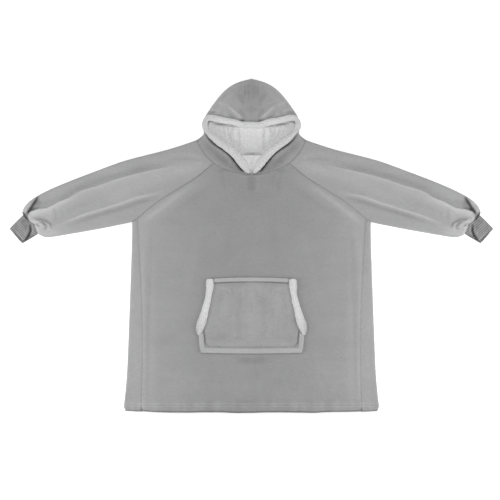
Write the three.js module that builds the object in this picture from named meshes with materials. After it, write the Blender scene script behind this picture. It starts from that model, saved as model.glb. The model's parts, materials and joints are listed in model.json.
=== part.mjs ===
// A wearable blanket hoodie, laid flat on its back with its sleeves spread and its hood open.
// Millimetres, +Z up. X runs across the garment, Y from hem to hood, and Z is the height above
// the surface it lies on. The origin is under the middle of the whole garment.
// Every piece of cloth is a closed wall. Panels that share a seam are built from the same seam
// points, one of them moved back a little, so they meet edge to edge.
import * as THREE from "three";

// Driving dimensions
const wall = 5; // plush face and fleece backing together
const seamGap = 0.3; // between two pieces at a seam
const layerGap = 0.4; // between two layers that lie on each other
const foldRadius = 9; // outer radius where the body folds round to the other side
const flatTop = 12; // height of the front's face in the middle
const seamRise = 1.6; // how much higher it is along the side seams
const neckRise = 4.5; // and at the neck
const hemSwell = 1.2; // how much thicker the turned-up hem is
const hemBow = 5; // how much higher the hem is at its ends than in the middle
const wave = 1.2; // slow waves in the front, away from the pocket
const liningWall = 3; // curly lining, where it shows inside the hood
const hoodTrimHeight = 12; // curly fleece trim round the hood
const pocketWall = 4;
const pocketPuff = 2.5;
const bindingWall = 2.2; // flat binding round the pocket
const pocketTrimHeight = 9; // curly fleece trim at the pocket's open sides
const cuffWall = 3;
const cuffRadius = 5.6;
const cuffRibs = 13;
const ribHeight = 0.9;
const crownPuff = 7; // how far the crown stands up behind the face opening

const plush = new THREE.Color(0.36, 0.36, 0.365);
const ribKnit = new THREE.Color(0.3, 0.3, 0.305);
const tape = new THREE.Color(0.45, 0.45, 0.455);
const fleece = new THREE.Color(0.78, 0.78, 0.78);

const table = (columns, rows) =>
  rows.map((row) => Object.fromEntries(columns.map((name, i) => [name, row[i]])));
const lerp = THREE.MathUtils.lerp;
const ease = THREE.MathUtils.smoothstep; // ease(x, low, high) runs from 0 to 1
const at = (x, y, z = 0) => new THREE.Vector3(x, y, z);
const mix = (a, b, t) => new THREE.Vector3().lerpVectors(a, b, t);
const lastOf = (list) => list[list.length - 1];

// Half widths of the body laid flat, and of the seam between front and back, by height
const bodyRows = table(
  ["y", "half", "seam"],
  [
    [-584.7, 441, 384.5],
    [-565, 448, 384],
    [-559, 447.5, 384],
    [-520, 442.5, 383],
    [-440, 435.5, 380.5],
    [-355, 432.5, 379],
    [-270, 429, 380],
    [-185, 426, 383.5],
    [-100, 423, 387],
    [-15, 420, 391.5],
    [50, 418.5, 395],
  ],
);
const hemRows = 2; // the rows up to the hem's stitch line
const armpit = { x: 418.5, y: 81.5 };

// Points along the raglan seam, from beside the armpit to the neck, on the front and on the
// back. The second one is the top of the side seam.
const raglan = table(
  ["x", "y", "backX", "backY"],
  [
    [409, 87.5, 409, 87.5],
    [397.5, 95.5, 397, 97],
    [372.5, 117.6, 372, 120],
    [346, 139.5, 340, 147],
    [320, 159.6, 306, 175],
    [270, 190, 262, 212],
    [218, 221.5, 217, 249],
    [172, 251.5, 172, 287],
    [132.8, 289.8, 128, 325],
  ],
);
// Points along a sleeve's neck seam, from the raglan seam to the fold on the shoulder
const sleeveNeck = table(
  ["x", "y", "backX", "backY"],
  [
    [150, 305, 145, 331],
    [171, 330, 165, 343],
    [187, 362, 187, 362],
  ],
);
const neckMiddle = 250.6; // Y of the front neck seam in the middle
const backNeckMiddle = 315.4; // Y of the back neck seam in the middle
const acrossFront = [0, 0.15, 0.3, 0.45, 0.6, 0.75, 0.88, 1]; // shares of the half width
const acrossBack = [0.67, 0.34, 0];
const flatShare = 0.6; // share of the front's half width that is flat, under the pocket

// Outline of a sleeve laid flat, from the cuff seam to the armhole, its fold radius, and how
// far its front stands up between the folds
const sleeveRows = table(
  ["topX", "topY", "lowX", "lowY", "radius", "puff"],
  [
    [802.7, 121, 746.7, 40.3, 6.5, 2],
    [788, 147, 722, 28, 9, 12],
    [745, 178, 690, 30, 10, 11],
    [661, 217, 620, 42, 10, 6],
    [535, 265, 535, 57, 9, 4],
    [451, 296, 470, 70, 9, 3],
    [367, 318, 437, 77, 9, 2],
    [280, 340, 426, 80, 9, 1],
    [192, 369.6, 418.5, 81.5, 9, 1],
  ],
);
// Long soft folds in a sleeve's front: a line, its ridge's height, and its reach to each side
const sleeveFolds = table(
  ["x1", "y1", "x2", "y2", "height", "above", "below"],
  [
    [770, 118, 640, 165, 10, 14, 34],
    [640, 165, 330, 268, 7, 16, 30],
    [700, 62, 520, 125, 5, 22, 16],
    [520, 125, 330, 186, 6, 22, 14],
    [790, 138, 745, 168, 4, 14, 12],
  ],
);
const armholeShift = at(0.4, 0.12); // moves a sleeve off the body and the hood
const neckShift = at(0, seamGap); // moves the hood off the front and the back

// A cuff laid flat, from its seam with the sleeve to its free edge
const cuffRows = table(
  ["topX", "topY", "lowX", "lowY"],
  [
    [803.1, 120.7, 747.1, 40],
    [806, 104, 756, 34],
    [848.2, 60.2, 801.6, 7],
  ],
);
const cuffBend = 0.2; // share of the cuff's length where its outline turns

// The hood by rows round the face opening, from the front of the neck up to the hood's middle
// seam: the edge of the opening and its height, the trim's reach inwards and outwards from it,
// the width of flat cloth under the trim, and the other side of the front layer. That is the
// neck seam up to the shoulder, and the outer fold with its radius after that.
const hoodRows = table(
  ["faceX", "faceY", "faceZ", "inwards", "outwards", "lap", "rimX", "rimY", "radius"],
  [
    [13, 254, 17, 3, 3, 3, 19.92, 0, 0],
    [23, 269.5, 20, 9, 12, 12, 39.84, 0, 0],
    [35, 287, 23, 14, 14, 14, 59.76, 0, 0],
    [50, 306, 26, 13.5, 14, 14, 79.68, 0, 0],
    [66, 323, 28, 12, 13, 13.5, 99.6, 0, 0],
    [84, 338, 30, 12, 12.5, 13.5, 116.86, 0, 0],
    [105, 352, 30, 12, 12, 13, 132.8, 289.8, 0],
    [128, 367, 29, 12, 11, 12, 150, 305, 0],
    [145, 384, 27, 12, 9.5, 10, 171, 330, 0],
    [152.5, 396, 24, 11, 9, 9, 192, 369.6, 9],
    [156, 407, 20, 10, 13, 2, 165, 388, 8.5],
    [157, 418, 20, 6, 18, 1.5, 168, 404, 8.5],
    [156.5, 431, 20, 3, 17, 1.5, 168, 426, 8.5],
    [149, 441.5, 20, 5, 19, 1.5, 165, 450, 8.5],
    [129, 445, 23, 13, 13.5, 14, 157, 463, 9],
    [105, 438.5, 25, 12, 12.5, 13, 136, 494.5, 11],
    [80, 434, 25, 12, 12, 13, 110, 529, 12],
    [54, 430, 24, 12, 11.5, 12.5, 78, 559, 12.5],
    [31, 419.5, 21, 12, 11.5, 12.5, 40, 576.5, 12.5],
    [0.2, 423, 21, 12, 12, 13, 0.2, 584.4, 12.5],
  ],
);
const cornerRow = 6; // the row where the front, the sleeve and the hood meet
const shoulderRow = 9; // the first row that has an outer fold
const crownRow = 14; // the first row over the crown
const crownBackY = 560; // where the last row of the hood ends on the back

// Lining on the back of the hood: half width by height
const liningRows = table(
  ["y", "half"],
  [
    [331, 143],
    [345, 150],
    [362, 152],
    [380, 152],
    [400, 150],
    [420, 150],
    [440, 148],
    [470, 130],
    [505, 104],
    [535, 74],
  ],
);
const liningCrease = { x: 45, low: 373, high: 415, height: 3 };

// Half width of the pocket. Its sides are open and trimmed down to the tip of the trim.
const pocketRows = table(
  ["y", "half"],
  [
    [-111, 144.5],
    [-125, 144.7],
    [-162, 146.5],
    [-201, 154.5],
    [-253, 169.5],
    [-285, 181],
    [-308, 184.5],
    [-334, 184],
    [-357, 181],
    [-375, 177],
  ],
);
const acrossPocket = [0, 0.3, 0.6, 0.906, 1]; // the last strip is as wide as the binding
const trimTipRow = 6;
const pocketArch = 5; // how much higher the middle of the top edge is than its ends
const pocketSag = 3; // and how much lower the middle of the bottom edge
const pocketTrimReach = table(
  ["inwards", "outwards"],
  [
    [13, 14],
    [13, 14],
    [13, 13],
    [15, 15],
    [15.5, 16],
    [13, 14],
    [3, 3],
  ],
);

// A closed mesh from triangles given as corner points, turned to face outwards
function solid(name, triangles, colour) {
  let volume = 0;
  for (const [a, b, c] of triangles) volume += a.dot(new THREE.Vector3().crossVectors(b, c));
  const outward = volume > 0 ? triangles : triangles.map(([a, b, c]) => [a, c, b]);
  const numbers = outward.flatMap((corners) => corners.flatMap((p) => [p.x, p.y, p.z]));
  const geometry = new THREE.BufferGeometry();
  geometry.setAttribute("position", new THREE.Float32BufferAttribute(numbers, 3));
  geometry.computeVertexNormals();
  const mesh = new THREE.Mesh(
    geometry,
    new THREE.MeshStandardMaterial({ color: colour, roughness: 0.95, metalness: 0 }),
  );
  mesh.name = name;
  return mesh;
}

const quad = (a, b, c, d) => [
  [a, b, c],
  [a, c, d],
];

// A wall of cloth between an outer and an inner grid of points. Cells that are absent leave an
// edge, which is closed. A ring runs on from its last column to its first.
function clothWall(outer, inner, { ring = false, present = () => true } = {}) {
  const rows = outer.length - 1;
  const points = outer[0].length;
  const columns = ring ? points : points - 1;
  const isThere = (i, j) => {
    if (i < 0 || i >= rows) return false;
    if (ring) return true;
    return j >= 0 && j < columns && present(i, j);
  };
  const triangles = [];
  for (let i = 0; i < rows; i++)
    for (let j = 0; j < columns; j++) {
      if (!isThere(i, j)) continue;
      const k = (j + 1) % points;
      const [a, b, c, d] = [outer[i][j], outer[i][k], outer[i + 1][k], outer[i + 1][j]];
      const [e, f, g, h] = [inner[i][j], inner[i][k], inner[i + 1][k], inner[i + 1][j]];
      triangles.push(...quad(a, b, c, d), ...quad(e, h, g, f));
      if (!isThere(i - 1, j)) triangles.push(...quad(a, e, f, b));
      if (!isThere(i + 1, j)) triangles.push(...quad(c, g, h, d));
      if (!isThere(i, j - 1)) triangles.push(...quad(d, h, e, a));
      if (!isThere(i, j + 1)) triangles.push(...quad(b, f, g, c));
    }
  return triangles;
}

// A solid through sections with as many points each, closed at both ends
function sweep(sections) {
  const n = sections[0].length;
  const triangles = [];
  for (let i = 0; i + 1 < sections.length; i++)
    for (let j = 0; j < n; j++) {
      const k = (j + 1) % n;
      triangles.push(...quad(sections[i][j], sections[i][k], sections[i + 1][k], sections[i + 1][j]));
    }
  const fan = (ring) => {
    const middle = ring.reduce((sum, p) => sum.add(p), at(0, 0)).divideScalar(n);
    return ring.map((p, j) => [p, middle, ring[(j + 1) % n]]);
  };
  triangles.push(...fan(sections[0]));
  triangles.push(...fan(lastOf(sections)).map(([a, b, c]) => [a, c, b]));
  return triangles;
}

// Rows between the rows of a table, on a smooth curve through all its columns
function refine(rows, count) {
  const row = (k) => rows[THREE.MathUtils.clamp(k, 0, rows.length - 1)];
  const between = (k, t, name) => {
    const [a, b, c, d] = [-1, 0, 1, 2].map((step) => row(k + step)[name]);
    const bend = t * (c - a + t * (2 * a - 5 * b + 4 * c - d + t * (3 * (b - c) + d - a)));
    return b + bend / 2;
  };
  const made = [];
  for (let k = 0; k + 1 < rows.length; k++)
    for (let step = 0; step < count; step++)
      made.push(
        Object.fromEntries(
          Object.keys(row(0)).map((name) => [name, between(k, step / count, name)]),
        ),
      );
  return [...made, lastOf(rows)];
}

// Points round a fold, from the underside up. The layers end over "near" and the fold's
// outermost line is over "far".
const foldAngles = [-45, 0, 45].map(THREE.MathUtils.degToRad);
const foldArc = (near, far, radius, thickness, lift = 0) =>
  foldAngles.map((angle) => {
    const p = mix(near, far, (Math.cos(angle) * (radius - thickness)) / radius);
    return at(p.x, p.y, lift + radius + Math.sin(angle) * (radius - thickness));
  });

const towards = (from, to, distance) =>
  at(from.x, from.y).add(at(to.x - from.x, to.y - from.y).setLength(distance));
const mirrored = (p) => at(-p.x, p.y, p.z);
const lowered = (p, distance) => at(p.x, p.y, p.z - distance);

// Y of the front neck seam at a share of its half width, and of the back neck seam
const frontNeckY = (share) => lerp(neckMiddle, lastOf(raglan).y, share ** 2.2);
const backNeckY = (share) => lerp(backNeckMiddle, lastOf(raglan).backY, share ** 2);

// How far the front rises over its flat middle at a share of its half width. "up" runs from 0
// at the armpit to 1 at the neck.
const frontRise = (share, up) =>
  Math.max(seamRise * ease(share, 0.7, 1), neckRise * ease(up, 0.4, 1) * (1 - share / 3));

// Front panel
const frontEdge = [
  ...bodyRows.map((row, i) => ({ x: row.seam - seamGap, y: row.y, up: 0, hem: i < hemRows })),
  ...raglan.slice(1).map((p, i) => ({ x: p.x, y: p.y, up: i / (raglan.length - 2) })),
];
const frontOuter = frontEdge.map((edge, i) => {
  const half = acrossFront.map((share) => {
    const drop = edge.up * (lastOf(raglan).y - frontNeckY(share));
    const lift = i === 0 ? hemBow * share ** 4 : 0;
    const away = Math.max(
      ease(share, flatShare, 0.8),
      ease(edge.y, -60, 60),
      1 - ease(edge.y, -520, -440),
    );
    const waves = 1 + Math.sin((edge.x * share) / 62 + edge.y / 150);
    const ripple = wave * waves * away * (1 - ease(share, 0.85, 1)) * (1 - edge.up);
    const rise = frontRise(share, edge.up) + ripple + (edge.hem ? hemSwell : 0);
    return at(share * edge.x, edge.y - drop + lift, flatTop + rise);
  });
  return [...half.slice(1).reverse().map(mirrored), ...half];
});
const front = clothWall(
  frontOuter,
  frontOuter.map((row, i) =>
    row.map((p) => lowered(p, wall + (frontEdge[i].hem ? hemSwell : 0))),
  ),
);

// Back panel, which runs round the side folds to the seams on the front
const backFlat = { from: 6, to: 12 }; // the columns that lie on the surface
const seamHeight = flatTop + seamRise;
function backRow(seam, near, far, hemLift, thickness) {
  const low = thickness;
  const top = 2 * foldRadius - thickness;
  const half = [
    at(seam.x, seam.y, seamHeight - thickness),
    at((seam.x + near.x) / 2, (seam.y + near.y) / 2, lerp(seamHeight, 2 * foldRadius, 0.6) - low),
    at(near.x, near.y, top),
    ...foldArc(near, far, foldRadius, thickness).reverse(),
    at(near.x, near.y, low),
    ...acrossBack.map((share) => at(share * near.x, near.y, low)),
  ];
  half.forEach((p) => (p.y += hemLift * (Math.abs(p.x) / near.x) ** 4));
  return [...half, ...half.slice(0, -1).reverse().map(mirrored)];
}
function backGrid(thickness) {
  const body = bodyRows.map((row, i) =>
    backRow(
      at(row.seam, row.y),
      at(row.half - foldRadius, row.y),
      at(row.half, row.y),
      i === 0 ? hemBow : 0,
      thickness,
    ),
  );
  body.push(backRow(raglan[1], raglan[0], armpit, 0, thickness));
  const upper = raglan.slice(1).map((p, i) => {
    const up = (i + 1) / (raglan.length - 1);
    const half = acrossBack.map((share) => {
      const drop = up * (lastOf(raglan).backY - backNeckY(share));
      return at(share * p.backX, p.backY - drop, thickness);
    });
    const side = [...Array(backFlat.from + 1).fill(at(p.backX, p.backY, thickness)), ...half];
    return [...side, ...side.slice(0, -1).reverse().map(mirrored)];
  });
  return [...body, ...upper];
}
const back = clothWall(backGrid(0), backGrid(wall), {
  present: (i, j) => i < bodyRows.length || (j >= backFlat.from && j < backFlat.to),
});

// Sleeves: the armhole and neck points of the front layer and of the back layer, and the share
// of the way from the armpit to the shoulder at each
const armholeFront = [...raglan, ...sleeveNeck].map((p) => at(p.x, p.y));
const armholeBack = [...raglan, ...sleeveNeck].map((p) => at(p.backX, p.backY));
const armholeHeight = [
  2 * foldRadius,
  ...raglan.slice(1).map((p, i) => flatTop + frontRise(1, i / (raglan.length - 2))),
  15.2,
  16.2,
  2 * foldRadius,
];
function sharesAlong(points) {
  const total = [0];
  points.slice(1).forEach((p, i) => total.push(total[i] + p.distanceTo(points[i])));
  return total.map((length) => length / lastOf(total));
}
const frontShares = sharesAlong(armholeFront);
const backShares = sharesAlong(armholeBack);
const fromChord = (points, shares, k) =>
  points[k].clone().sub(mix(points[0], lastOf(points), shares[k]));

function foldsHeight(x, y) {
  let height = 0;
  for (const fold of sleeveFolds) {
    const along = at(fold.x2 - fold.x1, fold.y2 - fold.y1);
    const offset = at(x - fold.x1, y - fold.y1);
    const t = offset.dot(along) / along.lengthSq();
    const side = (along.x * offset.y - along.y * offset.x) / -along.length();
    const reach = side > 0 ? fold.above : fold.below;
    const across = 1 - ease(Math.abs(side), 0, reach);
    const lengthwise = ease(t, -0.15, 0.1) * (1 - ease(t, 0.85, 1.15));
    height = Math.max(height, fold.height * across * lengthwise);
  }
  return height;
}

function sleeveRing(row, t, thickness) {
  const [top, low] = [at(row.topX, row.topY), at(row.lowX, row.lowY)];
  const isArmhole = t === 1;
  const nearTop = isArmhole ? lastOf(armholeFront) : towards(top, low, row.radius);
  const nearLow = isArmhole ? armholeFront[0] : towards(low, top, row.radius);
  const bend = ease(t, 0.45, 1);
  const layer = (points, shares) =>
    shares.map((share, k) =>
      mix(nearLow, nearTop, share).add(fromChord(points, shares, k).multiplyScalar(bend)),
    );
  const crest = flatTop + row.puff;
  const upper = layer(armholeFront, frontShares).map((p, k) => {
    const share = frontShares[k];
    const bulge = 1 - (2 * share - 1) ** 4;
    const gathers = 2 * Math.sin(share * 9 * Math.PI) * ease(t, 0, 0.05) * (1 - ease(t, 0.08, 0.2));
    const free = lerp(2 * row.radius, crest, bulge) + (foldsHeight(p.x, p.y) + gathers) * bulge;
    p.z = lerp(free, armholeHeight[k], ease(t, 0.8, 1)) - thickness;
    return p;
  });
  const under = layer(armholeBack, backShares).map((p) => at(p.x, p.y, thickness));
  return [
    ...under,
    ...foldArc(nearTop, top, row.radius, thickness),
    ...upper.reverse(),
    ...foldArc(nearLow, low, row.radius, thickness).reverse(),
  ].map((p) => p.add(armholeShift));
}
const sleeveStations = refine(sleeveRows, 2);
const sleeveGrid = (thickness) =>
  sleeveStations.map((row, i) => sleeveRing(row, i / (sleeveStations.length - 1), thickness));

// Cuffs: flat tubes with ribs that run round the wrist
const cuffSteps = 2 * cuffRibs;
function cuffRing(step, thickness) {
  const share = step / cuffSteps;
  const bent = share < cuffBend;
  const [from, to] = bent ? cuffRows.slice(0, 2) : cuffRows.slice(1);
  const t = bent ? share / cuffBend : (share - cuffBend) / (1 - cuffBend);
  const mid = (name) => lerp(from[name], to[name], t);
  const top = at(mid("topX"), mid("topY"));
  const low = at(mid("lowX"), mid("lowY"));
  const raise = step % 2 === 1 && thickness === 0 ? ribHeight : 0;
  const nearTop = towards(top, low, cuffRadius + ribHeight);
  const nearLow = towards(low, top, cuffRadius + ribHeight);
  const layer = (z) => [0, 1 / 3, 2 / 3, 1].map((s) => mix(nearLow, nearTop, s).setZ(z));
  const ringRadius = cuffRadius + raise;
  const arc = (near, far) =>
    foldArc(near, towards(near, far, ringRadius), ringRadius, thickness, ribHeight - raise);
  return [
    ...layer(ribHeight - raise + thickness),
    ...arc(nearTop, top),
    ...layer(ribHeight + 2 * cuffRadius + raise - thickness).reverse(),
    ...arc(nearLow, low).reverse(),
  ];
}
const cuffGrid = (thickness) =>
  Array.from({ length: cuffSteps + 1 }, (_, step) => cuffRing(step, thickness));

// Hood: one half, from the face opening out to the rim, round the fold and on to the middle of
// the back. The rows below the shoulder end at the neck seam.
const neckHeights = hoodRows.map((row, i) => {
  if (i <= cornerRow) return flatTop + frontRise(row.rimX / lastOf(raglan).x, 1);
  return armholeHeight[raglan.length + i - cornerRow - 1] ?? 2 * row.radius;
});
const hoodFace = hoodRows.map((row) => at(row.faceX, row.faceY, row.faceZ));
const hoodAcross = hoodFace.map((p, i) => {
  const isLast = i === hoodFace.length - 1;
  if (isLast) return at(0, 1);
  const along = hoodFace[i + 1].clone().sub(hoodFace[Math.max(i - 1, 0)]);
  return at(along.y, -along.x).normalize();
});
const backSeam = [...armholeBack.slice(raglan.length - 1)].reverse();
backSeam.push(...acrossBack.map((share) => at(share * lastOf(raglan).backX, backNeckY(share))));
lastOf(backSeam).x = lastOf(hoodRows).rimX;
const backSeamShares = sharesAlong(backSeam);
const hoodPuffs = [0.33, 0.67];

function hoodRow(row, i, thickness) {
  const face = hoodFace[i];
  const lap = face.clone().addScaledVector(hoodAcross[i], row.lap);
  const isNeck = i < shoulderRow;
  const share = row.rimX / lastOf(raglan).x;
  const far = at(row.rimX, i < cornerRow ? frontNeckY(share) : row.rimY);
  const isShoulder = i === shoulderRow;
  const near = isShoulder ? lastOf(armholeFront) : towards(far, face, row.radius);
  const rim = isNeck ? far : near;
  const puff = i > crownRow ? crownPuff : 0;
  const upper = [
    face,
    lap,
    ...hoodPuffs.map((t) => {
      const p = mix(lap, rim.clone().setZ(neckHeights[i]), t);
      return at(p.x, p.y, p.z + puff * Math.sin(Math.PI * t));
    }),
    at(rim.x, rim.y, neckHeights[i]),
  ].map((p) => lowered(p, thickness).add(neckShift));
  if (isNeck) return [...upper, ...Array(foldAngles.length + backSeam.length).fill(lastOf(upper))];
  const t = (i - shoulderRow) / (hoodRows.length - 1 - shoulderRow);
  const middle = at(lastOf(hoodRows).rimX, lerp(backNeckMiddle, crownBackY, t));
  const bend = 1 - ease(t, 0, 0.5);
  const under = backSeamShares.map((s, k) => {
    const p = mix(near, middle, s).add(fromChord(backSeam, backSeamShares, k).multiplyScalar(bend));
    return at(p.x, p.y, thickness).add(neckShift);
  });
  const fold = foldArc(near, far, row.radius, thickness).reverse();
  return [...upper, ...fold.map((p) => p.add(neckShift)), ...under];
}
const hoodGrid = (thickness) => hoodRows.map((row, i) => hoodRow(row, i, thickness));
const hoodFrontColumns = 4;
const hoodHalf = { present: (i, j) => i >= shoulderRow || j < hoodFrontColumns };

// Curly trim round the face opening. It grips the edge: outside it lies on the hood, and inside
// it hangs a little below the edge. A section has shares of the reach, and heights.
const trimSection = table(
  ["reach", "height"],
  [
    [1, 0.8],
    [1.04, 6],
    [0.5, hoodTrimHeight - 0.8],
    [-0.4, hoodTrimHeight],
    [-1.04, 6.5],
    [-0.9, -1],
    [-0.45, -4.5],
  ],
);
const edgeClearance = 0.6;
function trimRing(i) {
  const row = hoodRows[i];
  const place = (reach, height) =>
    hoodFace[i].clone().addScaledVector(hoodAcross[i], reach).add(at(0, 0, height));
  const outline = trimSection.map(({ reach, height }) =>
    place(reach * (reach > 0 ? row.outwards : row.inwards), height),
  );
  return [...outline, place(-edgeClearance, -3.5), place(-edgeClearance, 0.8)];
}
const rightTrim = hoodRows.map((row, i) => trimRing(i));
const leftTrim = rightTrim.slice(0, -1).map((ring) => ring.map(mirrored));
const hoodTrim = sweep([
  ...rightTrim.slice(0, -1),
  lastOf(rightTrim).map((p) => at(0, p.y, p.z)),
  ...leftTrim.reverse(),
]);

// Lining over the back of the hood, sewn in with the back neck seam
const acrossLining = [0, 0.15, 0.3, 0.45, 0.65, 0.85, 1];
const liningBottom = wall + layerGap;
const liningOuter = liningRows.map((row, i) => {
  const half = acrossLining.map((share) => {
    const x = share * row.half;
    const drop = (1 - i / (liningRows.length - 1)) * (1 - share ** 2) * 14;
    const y = row.y - drop;
    const crease = 1 - ease(Math.abs(x - liningCrease.x), 0, 24);
    const tall = ease(y, liningCrease.low - 40, liningCrease.low + 10);
    const rise = crease * tall * liningCrease.height + 2.4 * ease(share, 0.75, 1);
    return at(x, y, liningBottom + liningWall + rise);
  });
  return [...half.slice(1).reverse().map(mirrored), ...half];
});
const liningInner = liningOuter.map((row) => row.map((p) => lowered(p, liningWall)));

// Pocket panel, its bindings made from its own face, and the trim at its open sides
const pocketGrid = (lift) =>
  pocketRows.map((row, i) => {
    const half = acrossPocket.map((share) => {
      const isTop = i < 2;
      const down = (row.y - pocketRows[0].y) / (lastOf(pocketRows).y - pocketRows[0].y);
      const edgeCurve = isTop ? -pocketArch * share ** 2 : -pocketSag * down ** 3 * (1 - share ** 2);
      const puff = pocketPuff * (1 - share ** 2) * Math.sin(Math.PI * down);
      return at(share * row.half, row.y + edgeCurve, flatTop + layerGap + puff + lift);
    });
    return [...half.slice(1).reverse().map(mirrored), ...half];
  });
const pocketColumns = 2 * (acrossPocket.length - 1);
const isSideStrip = (j) => j === 0 || j === pocketColumns - 1;
const bindingFrom = pocketWall + layerGap;
const bindingGrids = [pocketGrid(bindingFrom + bindingWall), pocketGrid(bindingFrom)];
const topBinding = clothWall(...bindingGrids, { present: (i, j) => i === 0 && !isSideStrip(j) });
const lowBinding = clothWall(...bindingGrids, {
  present: (i, j) => i === pocketRows.length - 2 || (i >= trimTipRow && isSideStrip(j)),
});

const pocketTrimRows = pocketRows.slice(0, trimTipRow + 1);
const pocketTrim = sweep(
  pocketTrimRows.map((row, i) => {
    const { inwards, outwards } = pocketTrimReach[i];
    const y = i < 2 ? row.y - pocketArch : row.y + (i === trimTipRow ? 1 : 0);
    const onPocket = flatTop + layerGap + bindingFrom + 0.5;
    const onFront = flatTop + layerGap;
    const ridge = flatTop + bindingFrom + pocketTrimHeight * (i === trimTipRow ? 0.5 : 1);
    const place = (across, z) => at(row.half + across, y, z);
    return [
      place(edgeClearance, onFront),
      place(outwards, onFront),
      place(outwards, lerp(onFront, ridge, 0.55)),
      place(outwards * 0.45, ridge),
      place(-inwards * 0.45, ridge),
      place(-inwards, lerp(onPocket, ridge, 0.5)),
      place(-inwards, onPocket),
      place(edgeClearance, onPocket),
    ];
  }),
);

const bothSides = (name, triangles, colour) => [
  solid(`${name}_right`, triangles, colour),
  solid(`${name}_left`, triangles.map((corners) => corners.map(mirrored)), colour),
];
const hoodie = new THREE.Group();
hoodie.add(
  solid("front", front, plush),
  solid("back", back, plush),
  ...bothSides("sleeve", clothWall(sleeveGrid(0), sleeveGrid(wall), { ring: true }), plush),
  ...bothSides("cuff", clothWall(cuffGrid(0), cuffGrid(cuffWall), { ring: true }), ribKnit),
  ...bothSides("hood", clothWall(hoodGrid(0), hoodGrid(wall), hoodHalf), plush),
  solid("hood_lining", clothWall(liningOuter, liningInner), fleece),
  solid("hood_trim", hoodTrim, fleece),
  solid("pocket", clothWall(pocketGrid(pocketWall), pocketGrid(0)), plush),
  solid("pocket_top_binding", topBinding, tape),
  solid("pocket_low_binding", lowBinding, tape),
  ...bothSides("pocket_trim", pocketTrim, fleece),
);

export default hoodie;
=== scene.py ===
import json
import math

import bpy
import numpy as np
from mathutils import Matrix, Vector, kdtree
from mathutils.bvhtree import BVHTree

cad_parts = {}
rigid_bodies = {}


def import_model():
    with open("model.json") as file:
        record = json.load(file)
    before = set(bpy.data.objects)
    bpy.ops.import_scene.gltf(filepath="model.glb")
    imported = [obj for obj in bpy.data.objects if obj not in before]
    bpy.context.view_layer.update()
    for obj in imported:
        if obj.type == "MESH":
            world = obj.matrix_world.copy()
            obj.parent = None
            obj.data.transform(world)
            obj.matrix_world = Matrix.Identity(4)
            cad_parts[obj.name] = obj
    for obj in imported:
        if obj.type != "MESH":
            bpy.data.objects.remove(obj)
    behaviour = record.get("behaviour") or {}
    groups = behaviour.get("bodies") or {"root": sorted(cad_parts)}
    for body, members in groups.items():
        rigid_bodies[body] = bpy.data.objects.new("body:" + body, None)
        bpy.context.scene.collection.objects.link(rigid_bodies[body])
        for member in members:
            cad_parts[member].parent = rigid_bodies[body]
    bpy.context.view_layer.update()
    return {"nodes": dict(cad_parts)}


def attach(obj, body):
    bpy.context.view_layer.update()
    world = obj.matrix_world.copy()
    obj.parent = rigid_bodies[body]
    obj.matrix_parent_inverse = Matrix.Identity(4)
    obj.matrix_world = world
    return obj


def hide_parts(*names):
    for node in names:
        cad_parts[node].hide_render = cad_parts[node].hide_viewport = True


# A wearable blanket hoodie laid flat on its back, seen from straight above.
# Metres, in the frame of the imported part: +X across, +Y towards the hood, +Z up off the floor.
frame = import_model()
mm = 0.001
sides = ("right", "left")


# Small helpers for working on one piece at a time

def selectOnly(piece):
    bpy.ops.object.select_all(action="DESELECT")
    bpy.context.view_layer.objects.active = piece
    piece.select_set(True)


def editMode(piece, mode="FACE"):
    selectOnly(piece)
    bpy.ops.object.mode_set(mode="EDIT")
    bpy.ops.mesh.select_mode(type=mode)
    bpy.ops.mesh.select_all(action="DESELECT")


def objectMode():
    bpy.ops.object.mode_set(mode="OBJECT")


def applyModifier(piece, kind, **values):
    selectOnly(piece)
    modifier = piece.modifiers.new(kind.lower(), kind)
    for name, value in values.items():
        setattr(modifier, name, value)
    bpy.ops.object.modifier_apply(modifier=modifier.name)


def readPoints(piece, what="co"):
    points = np.empty(len(piece.data.vertices) * 3)
    piece.data.vertices.foreach_get(what, points)
    return points.reshape(-1, 3)


def movePoints(piece, points):
    piece.data.vertices.foreach_set("co", points.ravel())
    piece.data.update()


def paint(piece, name, values):
    attribute = piece.data.attributes.new(name, "FLOAT", "POINT")
    attribute.data.foreach_set("value", values)


def ease(value, low, high):
    t = np.clip((value - low) / (high - low), 0, 1)
    return t * t * (3 - 2 * t)


# Smooth random heights from -1 to 1 that change over the given size
def softNoise(points, size, seed):
    grid = np.random.default_rng(seed).uniform(-1, 1, (32, 32, 32))
    cell = points / size
    low = np.floor(cell).astype(int)
    part = cell - low
    part = part * part * (3 - 2 * part)
    total = np.zeros(len(points))
    for corner in range(8):
        step = np.array([corner & 1, corner >> 1 & 1, corner >> 2])
        weight = np.prod(np.where(step, part, 1 - part), axis=1)
        index = (low + step) % 32
        total += weight * grid[index[:, 0], index[:, 1], index[:, 2]]
    return total


# A rounded line through a few points given in mm
def roundedLine(path, steps=6):
    path = np.array(path, float)
    ends = np.vstack([2 * path[0] - path[1], path, 2 * path[-1] - path[-2]])
    line = []
    for a, b, c, d in zip(ends, ends[1:], ends[2:], ends[3:]):
        for t in np.arange(steps) / steps:
            line.append(
                b + 0.5 * t * (c - a + t * (2 * a - 5 * b + 4 * c - d + t * (3 * (b - c) + d - a)))
            )
    return np.array(line + [path[-1]])


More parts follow.
